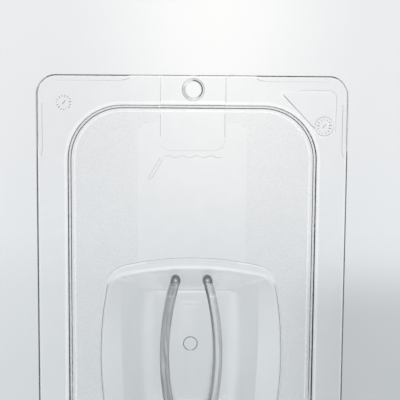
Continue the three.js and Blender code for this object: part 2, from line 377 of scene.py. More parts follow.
# The places of a mix node's colour sockets, which share their names with those for numbers and vectors
MIX_COLOR_A, MIX_COLOR_B, MIX_COLOR_RESULT = 6, 7, 2


class Nodes:
    """A short way to add shader nodes and join them. A value is a number or another node's output."""

    def __init__(self, tree):
        self.tree = tree

    def add(self, kind, **values):
        node = self.tree.nodes.new(kind)
        for key, value in values.items():
            setattr(node, key, value)
        return node

    def put(self, value, socket):
        if isinstance(value, bpy.types.NodeSocket):
            self.tree.links.new(value, socket)
        else:
            socket.default_value = value

    def math(self, operation, *values):
        node = self.add("ShaderNodeMath", operation=operation)
        for value, socket in zip(values, node.inputs):
            self.put(value, socket)
        return node.outputs[0]

    def length(self, x, y):
        """How far (x, y) is from the origin."""
        return self.math("SQRT", self.math("ADD", self.math("POWER", x, 2), self.math("POWER", y, 2)))

    def mixed(self, factor, one, other):
        """A colour between two, going to the other one as the factor goes to 1."""
        node = self.add("ShaderNodeMix", data_type="RGBA")
        self.put(factor, node.inputs["Factor"])
        self.put(one, node.inputs[MIX_COLOR_A])
        self.put(other, node.inputs[MIX_COLOR_B])
        return node.outputs[MIX_COLOR_RESULT]

    def place(self):
        """The x, y and z of the point being shaded, in the cover's own frame."""
        split = self.add("ShaderNodeSeparateXYZ")
        self.put(self.add("ShaderNodeTexCoord").outputs["Object"], split.inputs[0])
        return split.outputs["X"], split.outputs["Y"], split.outputs["Z"]

    def noise(self, scale, detail=2.0, vector=None):
        node = self.add("ShaderNodeTexNoise")
        self.put(self.add("ShaderNodeTexCoord").outputs["Object"] if vector is None else vector,
                 node.inputs["Vector"])
        node.inputs["Scale"].default_value = scale
        node.inputs["Detail"].default_value = detail
        return node.outputs["Fac"]

    def span(self, value, low, high, to_low=0.0, to_high=1.0, smooth=False):
        node = self.add("ShaderNodeMapRange", interpolation_type="SMOOTHSTEP" if smooth else "LINEAR")
        for put, socket in zip((value, low, high, to_low, to_high), node.inputs):
            self.put(put, socket)
        return node.outputs[0]

    def ramp(self, value, stops):
        """A grey level or a colour that follows (position, level or colour) stops."""
        node = self.add("ShaderNodeValToRGB")
        self.put(value, node.inputs[0])
        elements = node.color_ramp.elements
        while len(elements) < len(stops):
            elements.new(0.5)
        for element, (position, level) in zip(elements, stops):
            element.position = position
            color = level if isinstance(level, tuple) else (level,) * 3
            element.color = (*color, 1)
        return node.outputs["Color"]

    def tinted(self, tint, level):
        """A colour times a grey level."""
        node = self.add("ShaderNodeVectorMath", operation="SCALE")
        self.put(tint, node.inputs[0])
        self.put(level, node.inputs["Scale"])
        return node.outputs[0]


CLEAR_TINT = (0.99, 0.993, 0.995)
CLEAR_IOR = 1.585
CLEAREST, HAZIEST = 1.0, 0.985
ROUGHEST = 0.03

# The band that nearly all of a noise's values lie in
NOISE_LOW, NOISE_HIGH = 0.3, 0.7
WAVES_PER_METRE = 55
CLOUDS_PER_METRE = 2 * WAVES_PER_METRE
SMEARS_PER_METRE = 8 * WAVES_PER_METRE
GRAINS_PER_METRE = 900
WAVE_HEIGHT = 0.02 * MM
GRAIN_HEIGHT = 0.03 * MM
GRAIN_SHADE = 0.06
GRAIN_LOW, GRAIN_HIGH = 0.35, 0.65
GRAIN_DETAIL = 3.0

# The panel's grain leaves out a smooth window with rounded corners, and fades just above the panel
SMOOTH_WINDOW_X = 31 * MM
SMOOTH_WINDOW_Y = 135 * MM
SMOOTH_WINDOW_CORNER = 6.8 * MM
SMOOTH_WINDOW_BLUR = 0.3 * MM
GRAIN_FADE = mm(0.1, 0.6)


def panel_grain(n):
    """How strong the panel's grain is: full on the panel, and none in the smooth window or on the rim."""
    x, y, z = n.place()
    straight_x, straight_y = SMOOTH_WINDOW_X - SMOOTH_WINDOW_CORNER, SMOOTH_WINDOW_Y - SMOOTH_WINDOW_CORNER
    beyond_x = n.math("MAXIMUM", n.math("SUBTRACT", n.math("ABSOLUTE", x), straight_x), 0)
    beyond_y = n.math("MAXIMUM", n.math("SUBTRACT", y, straight_y), 0)
    outside = n.span(n.length(beyond_x, beyond_y), SMOOTH_WINDOW_CORNER - SMOOTH_WINDOW_BLUR,
                     SMOOTH_WINDOW_CORNER + SMOOTH_WINDOW_BLUR)
    fade_from, fade_to = GRAIN_FADE
    low = n.span(z, PANEL_TOP + fade_from, PANEL_TOP + fade_to, 1.0, 0.0)
    return n.math("MULTIPLY", outside, low)


def clear_plastic(name, grained=False, shade=None):
    """Clear polycarbonate: faint waves and haze from the mould, a fine grain on the panel where it is asked for,
    and a painted shade that darkens parts of the piece, where one is given."""
    material = bpy.data.materials.new(name)
    material.use_nodes = True
    n = Nodes(material.node_tree)
    shader = n.tree.nodes["Principled BSDF"]
    shader.inputs["Transmission Weight"].default_value = 1.0
    shader.inputs["IOR"].default_value = CLEAR_IOR
    level = n.span(n.noise(CLOUDS_PER_METRE), NOISE_LOW, NOISE_HIGH, HAZIEST, CLEAREST)
    height = n.math("MULTIPLY", n.noise(WAVES_PER_METRE), WAVE_HEIGHT)
    if grained:
        strength = panel_grain(n)
        grain = n.noise(GRAINS_PER_METRE, GRAIN_DETAIL)
        darker = n.math("MULTIPLY", strength, n.span(grain, GRAIN_LOW, GRAIN_HIGH, GRAIN_SHADE, 0.0))
        level = n.math("MULTIPLY", level, n.math("SUBTRACT", 1.0, darker))
        bumps = n.math("MULTIPLY", n.math("MULTIPLY", grain, strength), GRAIN_HEIGHT)
        height = n.math("ADD", height, bumps)
    # The piece's painted shade, where it has one
    if shade:
        level = n.math("MULTIPLY", level, shade(n))
    n.put(n.tinted(CLEAR_TINT, level), shader.inputs["Base Color"])
    smears = n.span(n.noise(SMEARS_PER_METRE), NOISE_LOW, NOISE_HIGH, 0.0, ROUGHEST)
    n.put(smears, shader.inputs["Roughness"])
    bump = n.add("ShaderNodeBump")
    bump.inputs["Strength"].default_value = 1.0
    bump.inputs["Distance"].default_value = 1.0
    n.put(height, bump.inputs["Height"])
    n.put(bump.outputs[0], shader.inputs["Normal"])
    return material


# Painted shade and highlight bands, as grey levels across a rail from its inner side to its outer side, set
# differently on each rail, and painted rings round the posts at its ends
RAIL_PAINTED_SHADES = {
    -1: ((0.0, 0.3), (0.1, 0.6), (0.3, 0.74), (0.48, 0.56), (0.68, 0.72), (0.84, 0.5), (1.0, 0.36)),
    1: ((0.0, 0.34), (0.12, 0.18), (0.24, 0.3), (0.32, 1.0), (0.58, 0.97), (0.68, 0.72), (1.0, 0.6)),
}
# How dark and how light the painted shade and highlight streaks get on each rail
RAIL_PAINTED_STREAKS = {-1: (0.5, 1.32), 1: (0.82, 1.14)}
RAIL_STREAK_DETAIL = 3.0
STREAKS_PER_METRE_ACROSS = 2300
STREAKS_PER_METRE_ALONG = 60
POST_PAINTED_SHADES = ((0.0, 1.0), (0.24, 1.0), (0.34, 0.25), (0.5, 0.5), (0.62, 0.14), (0.85, 0.3), (1.0, 0.1))

# Where the rail's streaks give way to the post's rings, back from the post's middle
POST_FADE = mm(1.8, 1)


def rail_painted_shade(side):
    """Painted shade and highlight: darker and lighter streaks that run along a rail, and rings round its posts."""
    def shade(n):
        x, y, _ = n.place()
        bend = n.math("MULTIPLY", n.math("POWER", n.math("DIVIDE", y, RAIL_HALF_LENGTH), 2),
                      RAIL_MIDDLE_X - RAIL_END_X)
        out = n.math("ADD", n.math("SUBTRACT", n.math("ABSOLUTE", x), RAIL_MIDDLE_X), bend)
        across = n.math("ADD", n.math("DIVIDE", out, RAIL_WIDTH), 0.5)
        streaks = n.add("ShaderNodeCombineXYZ")
        n.put(n.math("MULTIPLY", out, STREAKS_PER_METRE_ACROSS), streaks.inputs["X"])
        n.put(n.math("MULTIPLY", y, STREAKS_PER_METRE_ALONG), streaks.inputs["Y"])
        noise = n.noise(1.0, RAIL_STREAK_DETAIL, streaks.outputs[0])
        streak = n.span(noise, NOISE_LOW, NOISE_HIGH, *RAIL_PAINTED_STREAKS[side])
        rail = n.math("MULTIPLY", n.ramp(across, RAIL_PAINTED_SHADES[side]), streak)
        off_x = n.math("SUBTRACT", n.math("ABSOLUTE", x), RAIL_END_X)
        off_y = n.math("SUBTRACT", n.math("ABSOLUTE", y), RAIL_HALF_LENGTH)
        post = n.ramp(n.math("DIVIDE", n.length(off_x, off_y), RAIL_END_RADIUS), POST_PAINTED_SHADES)
        fade_from, fade_to = POST_FADE
        at_post = n.span(n.math("ABSOLUTE", y), RAIL_HALF_LENGTH - fade_from, RAIL_HALF_LENGTH - fade_to)
        return n.math("ADD", n.math("MULTIPLY", rail, n.math("SUBTRACT", 1.0, at_post)),
                      n.math("MULTIPLY", post, at_post))
    return shade


# Painted shade and highlight rings across the hanging hole's collar, as grey levels from the hole outwards, on its
# clear side and on the side with the painted dark arc
COLLAR_PAINTED_CLEAR_SIDE = ((0.0, 0.6), (0.08, 1.0), (0.3, 0.95), (0.4, 0.72), (0.5, 1.0), (0.75, 0.85), (0.86, 0.55),
                     (1.0, 0.4))
COLLAR_PAINTED_DARK_SIDE = ((0.0, 0.5), (0.08, 1.0), (0.26, 0.8), (0.34, 0.08), (0.5, 0.12), (0.6, 0.95), (0.84, 0.8),
                    (1.0, 0.35))

# The way that the side with the painted dark arc faces, and how squarely a point has to face it: clear up to the
# first cosine, fully dark from the second, and a little darker than clear on the far side, which is painted shade
# too
COLLAR_PAINTED_DARK_WAY = (0.93, 0.37)
COLLAR_PAINTED_DARK_COSINES = (0.1, 0.5)
COLLAR_FAR_COSINES = (-0.9, -0.4)
COLLAR_FAR_PAINTED_LEVEL = 0.75
COLLAR_MOTTLES_PER_METRE = 260
COLLAR_MOTTLE_LEVELS = (0.8, 1.15)


def collar_painted_shade(n):
    """Painted shade and highlight rings round the hanging hole, with a painted dark arc on one side."""
    x, y, _ = n.place()
    y = n.math("SUBTRACT", y, HOLE_Y)
    distance = n.length(x, y)
    across = n.span(distance, HOLE_RADIUS, COLLAR_RADIUS)
    way_x, way_y = COLLAR_PAINTED_DARK_WAY
    forward = n.math("ADD", n.math("MULTIPLY", x, way_x), n.math("MULTIPLY", y, way_y))
    facing = n.math("DIVIDE", forward, distance)
    rings = n.mixed(n.span(facing, *COLLAR_PAINTED_DARK_COSINES, smooth=True),
                    n.ramp(across, COLLAR_PAINTED_CLEAR_SIDE), n.ramp(across, COLLAR_PAINTED_DARK_SIDE))
    far = n.span(facing, *COLLAR_FAR_COSINES, COLLAR_FAR_PAINTED_LEVEL, 1.0)
    mottle = n.span(n.noise(COLLAR_MOTTLES_PER_METRE), NOISE_LOW, NOISE_HIGH, *COLLAR_MOTTLE_LEVELS)
    return n.math("MULTIPLY", n.math("MULTIPLY", rings, far), mottle)


# Painted shade in the middle of the bowl's floor: how much light it takes off, and how far out it starts and stops
# fading
BOWL_FLOOR_PAINTED_SHADE = 0.04
FLOOR_FADE_X = mm(18, 24)
FLOOR_FADE_Y = mm(30, 34)


def bowl_painted_shade(n):
    """Painted shade: a slightly darker middle of the bowl's floor."""
    x, y, _ = n.place()
    within_x = n.span(n.math("ABSOLUTE", x), *FLOOR_FADE_X, 1.0, 0.0, smooth=True)
    within_y = n.span(n.math("ABSOLUTE", y), *FLOOR_FADE_Y, 1.0, 0.0, smooth=True)
    return n.math("SUBTRACT", 1.0, n.math("MULTIPLY", n.math("MULTIPLY", within_x, within_y), BOWL_FLOOR_PAINTED_SHADE))


# Painted shade along the outermost strip of the rim's sides, heavier on the left than on the right: how much light
# it takes off each side, and how far in from the edge it fades
EDGE_PAINTED_SHADE_LEFT, EDGE_PAINTED_SHADE_RIGHT = 0.52, 0.24
EDGE_FADE = mm(1.7, 1.1)


def rim_edge_painted_shade(n):
    """Painted shade: a darker strip along the rim's left and right edges, darker on the left."""
    x = n.place()[0]
    fade_from, fade_to = EDGE_FADE
    edge = n.span(n.math("ABSOLUTE", x), HALF_WIDTH - fade_from, HALF_WIDTH - fade_to)
    loss = n.span(x, -MM, MM, EDGE_PAINTED_SHADE_LEFT, EDGE_PAINTED_SHADE_RIGHT)
    return n.math("SUBTRACT", 1.0, n.math("MULTIPLY", edge, loss))


# ----------------------------------------------------------------------------------------------------------
# The cover's pieces
# ----------------------------------------------------------------------------------------------------------


def cover_skin(shoulder):
    """The rim, recess wall and panel, as one ring-shaped body with an opening for the bowl."""
    bead_bottom = RIM_BOTTOM - BEAD_DEPTH
    edge = rounded([
        (-BEAD_WIDTH - FLAT_AFTER_BEAD, RIM_BOTTOM),
        (-BEAD_WIDTH, RIM_BOTTOM),
        (-BEAD_WIDTH, bead_bottom),
        (0, bead_bottom),
        (-EDGE_LEAN, RIM_TOP),
        (-FLAT_AFTER_EDGE, RIM_TOP),
    ], [0, BEAD_INNER_ROUND, BEAD_ROUND, BEAD_ROUND, EDGE_ROUND, 0])
    upper = rounded([
        (FLAT_BEFORE_SHOULDER, RIM_TOP),
        (0, RIM_TOP),
        (-WALL_LEAN, PANEL_TOP),
        (-WALL_LEAN - FLAT_AFTER_FOOT, PANEL_TOP),
    ], [0, shoulder, FOOT_ROUND, 0])
    top = WALL_OFFSET_BELOW
    foot = top - WALL_LEAN_BELOW
    lower = rounded([
        (foot - FLAT_BEFORE_FOOT_BELOW, PANEL_BOTTOM),
        (foot, PANEL_BOTTOM),
        (top, RIM_BOTTOM),
        (top + FLAT_AFTER_SHOULDER_BELOW, RIM_BOTTOM),
    ], [0, FOOT_ROUND_BELOW, SHOULDER_ROUND_BELOW, 0])
    return loft("cover_skin", [
        *swept(RIM, edge),
        *swept(RECESS, upper),
        *swept(OPENING, [(0, PANEL_TOP), (0, PANEL_BOTTOM)]),
        *swept(RECESS, lower),
    ], True)


def ledge_cutter():
    """Everything above the stepped strip that runs along the edge at each corner of the rim."""
    start = RIM_TOP - LEDGE_DEPTH
    strip = loft("ledge_cutter", swept(RIM, [
        (-LEDGE_WIDTH - LEDGE_STEP_LEAN, RIM_TOP + LEDGE_OVERRUN_ABOVE),
        (-LEDGE_WIDTH - LEDGE_STEP_LEAN, RIM_TOP + LEDGE_OVERLAP),
        (-LEDGE_WIDTH + LEDGE_STEP_LEAN, start),
        (-LEDGE_WIDTH / 2, start),
        (LEDGE_OVERRUN, start - (LEDGE_OVERRUN + LEDGE_WIDTH / 2) * LEDGE_SLOPE),
        (LEDGE_OVERRUN, RIM_TOP + LEDGE_OVERRUN_ABOVE),
    ]), True)
    inner_x = HALF_WIDTH - LEDGE_ALONG_END + LEDGE_SLANT
    inner_y = HALF_LENGTH - LEDGE_ALONG_SIDE + LEDGE_SLANT
    edge_x = HALF_WIDTH - LEDGE_ALONG_END
    edge_y = HALF_LENGTH - LEDGE_ALONG_SIDE
    quarter = np.array([
        (edge_x - LEDGE_SLANT, HALF_LENGTH + LEDGE_WIDTH),
        (inner_x, HALF_LENGTH - LEDGE_WIDTH),
        (HALF_WIDTH - LEDGE_WIDTH, inner_y),
        (HALF_WIDTH + LEDGE_WIDTH, edge_y - LEDGE_SLANT),
        (HALF_WIDTH + CORNER_OVERRUN, edge_y - LEDGE_SLANT),
        (HALF_WIDTH + CORNER_OVERRUN, HALF_LENGTH + CORNER_OVERRUN),
        (edge_x - LEDGE_SLANT, HALF_LENGTH + CORNER_OVERRUN),
    ])
    blocks = []
    for x, y in ((1, 1), (-1, 1), (-1, -1), (1, -1)):
        points = quarter * [x, y]
        points = points if x * y > 0 else points[::-1]
        blocks.append(prism("corner", points, RIM_BOTTOM, RIM_TOP + OVERRUN))
    return cut(strip, joined(blocks), "INTERSECT")


def notch_outline(margin):
    """The insert's outline, grown by the margin and run out past the cover's end."""
    x = NOTCH_HALF_WIDTH + margin
    near = HALF_LENGTH - NOTCH_LENGTH - margin
    far = HALF_LENGTH + OVERRUN
    radius = NOTCH_CORNER + margin
    left = arc((-x + radius, near + radius), radius, math.pi, 1.5 * math.pi, NOTCH_STEPS)
    right = arc((x - radius, near + radius), radius, 1.5 * math.pi, 2 * math.pi, NOTCH_STEPS)
    return np.concatenate([[(x, far), (-x, far)], left, right])


def notch_prism(margin):
    return prism("notch_cutter", notch_outline(margin), PANEL_BOTTOM - OVERRUN, RIM_TOP + OVERRUN)


def round_hole(radius):
    return prism("hole_cutter", circle((0, HOLE_Y), radius, HOLE_STEPS), RIM_TOP - HOLE_OVERRUN,
                 RIM_TOP + HOLE_OVERRUN)


def hanging_collar():
    def hoop(radius, z):
        return np.column_stack([circle((0, HOLE_Y), radius, HOLE_STEPS), np.full(HOLE_STEPS, z)])

    corners = [hoop(COLLAR_RADIUS, COLLAR_LOW.z), hoop(COLLAR_RADIUS, COLLAR_HIGH.z),
               hoop(HOLE_RADIUS, COLLAR_HIGH.z), hoop(HOLE_RADIUS, COLLAR_LOW.z)]
    rounds = [*COLLAR_OUTER_ROUNDS, *COLLAR_INNER_ROUNDS]
    return loft("hanging_hole_collar_visual", filleted(corners, rounds), True)


def side_to_end(at_side, at_end):
    """A value for each point of an outline, going from the one on the sides to the one on the ends."""
    points = outline(LIP)
    ahead = np.roll(points, -1, axis=0) - np.roll(points, 1, axis=0)
    across = ahead[:, 1:]**2 / (ahead**2).sum(axis=1, keepdims=True)
    return at_side * across + at_end * (1 - across)


def finger_bowl():
    """The bowl, with a flange that meets the shell and a shallow channel between flange and lip."""
    flange = grown(OPENING, -SEAM)
    channel_bottom = PANEL_TOP - CHANNEL_DEPTH
    below = filleted(
        [ring(FLOOR_MIDDLE, 0), ring(grown(FLOOR, FLOOR_GROWTH_BELOW), 0), ring(LIP_BELOW, PANEL_BOTTOM),
         ring(flange, PANEL_BOTTOM)],
        [0, side_to_end(*FLOOR_ROUND_BELOW), side_to_end(*LIP_ROUND_BELOW), 0])
    above = filleted(
        [ring(CHANNEL, PANEL_TOP), ring(LIP, PANEL_TOP), ring(FLOOR, FLOOR_TOP), ring(FLOOR_MIDDLE, FLOOR_TOP)],
        [0, side_to_end(*LIP_ROUND), side_to_end(*FLOOR_ROUND), 0])
    rings = [
        *below,
        ring(flange, PANEL_TOP),
        ring(grown(flange, -CHANNEL_OUTER_TOP), PANEL_TOP),
        ring(grown(flange, -CHANNEL_OUTER_BOTTOM), channel_bottom),
        ring(grown(CHANNEL, CHANNEL_INNER_BOTTOM), channel_bottom),
        *above,
    ]
    return loft("finger_bowl_visual", rings, False)


def rail_outline(side):
    bulge = RAIL_MIDDLE_X - RAIL_END_X
    radius = arc_radius(RAIL_HALF_LENGTH, bulge)
    reach = math.asin(RAIL_HALF_LENGTH / radius)
    centre = (RAIL_MIDDLE_X - radius, 0)
    outer = arc(centre, radius + RAIL_WIDTH / 2, -reach, reach, RAIL_STEPS)
    inner = arc(centre, radius - RAIL_WIDTH / 2, reach, -reach, RAIL_STEPS)
    points = np.concatenate([outer, inner]) * [side, 1]
    return points if side > 0 else points[::-1]


def grip_rail(side):
    name = "grip_rail_right_visual" if side > 0 else "grip_rail_left_visual"
    bottom = FLOOR_TOP + RAIL_CLEARANCE
    rail = prism(name, rail_outline(side), bottom, RAIL_TOP)
    for end in (-1, 1):
        post = circle((side * RAIL_END_X, end * RAIL_HALF_LENGTH), RAIL_END_RADIUS, POST_STEPS)
        cut(rail, prism("post", post, bottom, RAIL_TOP), "UNION")
    bevel = rail.modifiers.new("edge", "BEVEL")
    bevel.width = RAIL_BEVEL
    bevel.segments = RAIL_BEVEL_SEGMENTS
    bevel.limit_method = "ANGLE"
    bevel.angle_limit = RAIL_BEVEL_ANGLE
    applied(rail)
    for end in (-1, 1):
        for near, sole in RAIL_SOLES:
            cut(rail, under_rail_end(end, near, sole), "DIFFERENCE")
    return rail


def under_rail_end(end, near, sole):
    """The air between one end of a rail and the sloping end of the bowl, up to a flat sole, with a leaning riser
    where the sole begins."""
    far = RAIL_HALF_LENGTH + 2 * RAIL_END_RADIUS
    lean = (sole + WALL) * RAIL_RISER_LEAN
    width = 2 * RAIL_MIDDLE_X
    section = [(near - lean, -WALL), (far, -WALL), (far, sole), (near, sole)]
    vertices = [(x, end * y, z) for x in (-width, width) for y, z in section]
    faces = [(3, 2, 1, 0), (4, 5, 6, 7), (0, 1, 5, 4), (1, 2, 6, 5), (2, 3, 7, 6), (3, 0, 4, 7)]
    return mesh_object("wedge", vertices, faces if end > 0 else [f[::-1] for f in faces])


# ----------------------------------------------------------------------------------------------------------
# Fine marks of the mould: grooves in the underside, seen through the plastic
# ----------------------------------------------------------------------------------------------------------

# Width and depth of each kind of groove. A groove with a negative depth goes down from an upper face
FINE_GROOVE = mm(0.16, 0.1)
DIAL_GROOVE = mm(0.3, 0.2)
WAVE_GROOVE = mm(0.1, 0.06)
PEN_GROOVE = mm(0.1, 0.08)
GATE_GROOVE = mm(0.4, 0.26)
BOWL_LINE_GROOVE = mm(0.6, -0.16)
GROOVE_SPILL = 1 / 4

# The date dials: middle, radius and number of spokes
DIAL_LEFT, DIAL_LEFT_RADIUS, DIAL_LEFT_SPOKES = mm(-72.2, 146.3), 4.7 * MM, 15
DIAL_RIGHT, DIAL_RIGHT_RADIUS, DIAL_RIGHT_SPOKES = mm(74.0, 133.9), 4.4 * MM, 13
DIAL_RING_RADIUS = 5.3 * MM

# Shares of a dial's radius, and of the turn from spoke to spoke
SPOKE_OUTER, SPOKE_INNER, LONG_SPOKE_INNER = 0.93, 0.72, 0.6
SPOKES_PER_LONG_SPOKE = 3
FIRST_SPOKE = 0.3
HAND_TAIL, HAND_TIP = -0.28, 0.34
HAND_ANGLE = math.radians(50)

# The lines along the stepped strips: how far in from the edge, and their (place along the edge, way out) points
LEDGE_LINE = 3.75 * MM
LEDGE_LINE_ALONG_END = (mm(77, 0), mm(41, 0), mm(38, 0.5), mm(35.5, 1.4))
LEDGE_LINE_ALONG_SIDE = (mm(146, 0), mm(120, 0), mm(116.5, 0.8))

# The pad: corners with their rounds, and (inset, height above the rim) of its outline from the bottom up
PAD_CORNERS = mm(46.6, 153.3), mm(80.0, 118.3), mm(80.0, 153.3)
PAD_ROUNDS = mm(1.5, 6, 6)
PAD_LEVELS = (mm(0, -0.1), mm(0, 0), mm(0.3, 0.25), mm(0.6, 0.32))

# The line that runs round the pad's outer corner, and the one across the pad
PAD_LINE_START, PAD_LINE_END = mm(60, 154), mm(80.4, 131)
PAD_LINE_CORNER, PAD_LINE_RADIUS = mm(76.5, 149.8), 4.2 * MM
PAD_DIAGONAL = (mm(50.8, 151.2), mm(68.6, 132.5))

# The wavy line on the panel, and the slim pen-shaped outline beside it
WAVE_FROM, WAVE_TO, WAVE_POINTS = -16, 16.7, 97
WAVE_Y = 115.8 * MM
WAVE_SWING = 0.55 * MM
WAVE_LENGTH = 8.2 * MM
PEN_TIP, PEN_TAIL = (-25.0, 102.0), (-17.6, 114.6)
PEN_HALF_WIDTH = 0.9 * MM
PEN_TAPER = 2.5 * MM

# The insert's fine lines: how far in from its sides, and where they start and stop on the rim and on the panel
INSERT_LINE_INSET = 0.3 * MM
INSERT_LINE_ON_RIM = mm(147, 160.5)
INSERT_LINE_ON_PANEL = mm(127, 140)

# The ring under the bowl's floor, and the short bars in the floor, each as (from x, to x, y)
GATE_RING, GATE_RING_RADIUS = mm(0, 1.6), 4.1 * MM
BOWL_LINES = (mm(-4.7, 6.2, 26.9), mm(-2.9, 2.9, 24.6))


def groove(points, size, z, closed=False):
    """A cutter for a groove with a V section, along a run of (x, y) points in a face at height z. It spills a
    little past the face, so that it cuts the face cleanly."""
    width, depth = size
    points = np.array(points)
    ahead = np.roll(points, -1, axis=0) - np.roll(points, 1, axis=0)
    if not closed:
        ahead[0] = points[1] - points[0]
        ahead[-1] = points[-1] - points[-2]
    across = np.stack([-ahead[:, 1], ahead[:, 0]], axis=1)
    across *= width / 2 / np.linalg.norm(across, axis=1, keepdims=True)
    count = len(points)
    spill = depth * GROOVE_SPILL
    vertices = [
        *[(x, y, z - spill) for x, y in points - across * (1 + GROOVE_SPILL)],
        *[(x, y, z - spill) for x, y in points + across * (1 + GROOVE_SPILL)],
        *[(x, y, z + depth) for x, y in points],
    ]
    faces = []
    for i in range(count if closed else count - 1):
        n = (i + 1) % count
        for a, b in ((0, 1), (1, 2), (2, 0)):
            faces.append((a * count + i, a * count + n, b * count + n, b * count + i))
    if not closed:
        last = count - 1
        faces += [(0, count, 2 * count), (last, 2 * count + last, count + last)]
    made = mesh_object("groove", vertices, faces)
    outwards(made)
    return made


def outwards(made):
    """Turns a closed mesh's faces so that they look outwards."""
    volume = 0.0
    for polygon in made.data.polygons:
        corners = [made.data.vertices[v].co for v in polygon.vertices]
        for i in range(1, len(corners) - 1):
            volume += corners[0].dot(corners[i].cross(corners[i + 1]))
    if volume < 0:
        made.data.flip_normals()


def spoke(centre, angle, inner, outer):
    way = np.array([math.cos(angle), math.sin(angle)])
    return [np.array(centre) + way * inner, np.array(centre) + way * outer]


def dial_marks(centre, radius, spokes):
    """The marks of a moulded date dial: spokes of two lengths, and a plain hand in its middle."""
    made = []
    for i in range(spokes):
        angle = 2 * math.pi * (i + FIRST_SPOKE) / spokes
        inner = radius * (SPOKE_INNER if i % SPOKES_PER_LONG_SPOKE else LONG_SPOKE_INNER)
        made.append(groove(spoke(centre, angle, inner, radius * SPOKE_OUTER), DIAL_GROOVE, RIM_BOTTOM))
    hand = spoke(centre, HAND_ANGLE, radius * HAND_TAIL, radius * HAND_TIP)
    made.append(groove(hand, DIAL_GROOVE, RIM_BOTTOM))
    return made


def pad():
    """The raised triangular pad at one corner, with its sides drawn in towards the top."""
    corners = np.array(PAD_CORNERS)
    outline_points = []
    for i, (corner, radius) in enumerate(zip(corners, PAD_ROUNDS)):
        before, after = corners[i - 1], corners[(i + 1) % len(corners)]
        back = (before - corner) / np.linalg.norm(before - corner)
        on = (after - corner) / np.linalg.norm(after - corner)
        half = math.acos(back @ on) / 2
        middle = corner + (back + on) / np.linalg.norm(back + on) * radius / math.sin(half)
        start = corner + back * radius / math.tan(half) - middle
        stop = corner + on * radius / math.tan(half) - middle
        turn = math.pi - 2 * half
        for step in range(ARC_STEPS + 1):
            angle = turn * step / ARC_STEPS
            way = (start * math.sin(turn - angle) + stop * math.sin(angle)) / math.sin(turn) / radius
            outline_points.append((middle, way, radius))
    levels = [np.array([(*(middle + way * (radius - inset)), RIM_TOP + height)
                        for middle, way, radius in outline_points]) for inset, height in PAD_LEVELS]
    return loft("pad", levels, False)


def ledge_lines():
    """The lines along the stepped strips, at all four corners."""
    inner_x, inner_y = HALF_WIDTH - LEDGE_LINE, HALF_LENGTH - LEDGE_LINE
    lines = ([(x, inner_y + out) for x, out in LEDGE_LINE_ALONG_END],
             [(inner_x + out, y) for y, out in LEDGE_LINE_ALONG_SIDE])
    return [groove([(flip_x * x, flip_y * y) for x, y in line], FINE_GROOVE, RIM_BOTTOM)
            for flip_x in (-1, 1) for flip_y in (-1, 1) for line in lines]


def wave():
    xs = np.linspace(WAVE_FROM, WAVE_TO, WAVE_POINTS) * MM
    return [(x, WAVE_Y + WAVE_SWING * math.sin((x - WAVE_FROM * MM) / WAVE_LENGTH * 2 * math.pi)) for x in xs]


def pen():
    tip, tail = np.array(PEN_TIP) * MM, np.array(PEN_TAIL) * MM
    way = (tail - tip) / np.linalg.norm(tail - tip)
    side = np.array([-way[1], way[0]]) * PEN_HALF_WIDTH
    shoulder = tip + way * PEN_TAPER
    return [tip, shoulder + side, tail + side, tail - side, shoulder - side]


def shell_marks():
    corner = arc(PAD_LINE_CORNER, PAD_LINE_RADIUS, math.pi / 2, 0, ARC_STEPS)
    return joined([
        *dial_marks(DIAL_LEFT, DIAL_LEFT_RADIUS, DIAL_LEFT_SPOKES),
        *dial_marks(DIAL_RIGHT, DIAL_RIGHT_RADIUS, DIAL_RIGHT_SPOKES),
        groove(circle(DIAL_RIGHT, DIAL_RING_RADIUS), FINE_GROOVE, RIM_BOTTOM, closed=True),
        *ledge_lines(),
        groove([PAD_LINE_START, *corner, PAD_LINE_END], FINE_GROOVE, RIM_BOTTOM),
        groove(PAD_DIAGONAL, DIAL_GROOVE, RIM_BOTTOM),
        groove(wave(), WAVE_GROOVE, PANEL_BOTTOM),
        groove(pen(), PEN_GROOVE, PANEL_BOTTOM, closed=True),
    ])


def insert_marks():
    """The fine line just inside each side of the insert, on the rim and on the panel."""
    made = []
    for x in (-1, 1):
        edge = x * (NOTCH_HALF_WIDTH - INSERT_LINE_INSET)
        for face, stretch in ((RIM_BOTTOM, INSERT_LINE_ON_RIM), (PANEL_BOTTOM, INSERT_LINE_ON_PANEL)):
            made.append(groove([(edge, y) for y in stretch], FINE_GROOVE, face))
    return joined(made)


def gate_ring():
    """The ring in the underside of the bowl's floor."""
    return groove(circle(GATE_RING, GATE_RING_RADIUS), GATE_GROOVE, 0, closed=True)


def bowl_lines():
    """The short bars in the upper face of the bowl's floor."""
    return joined([groove([(start, y), (stop, y)], BOWL_LINE_GROOVE, FLOOR_TOP) for start, stop, y in BOWL_LINES])


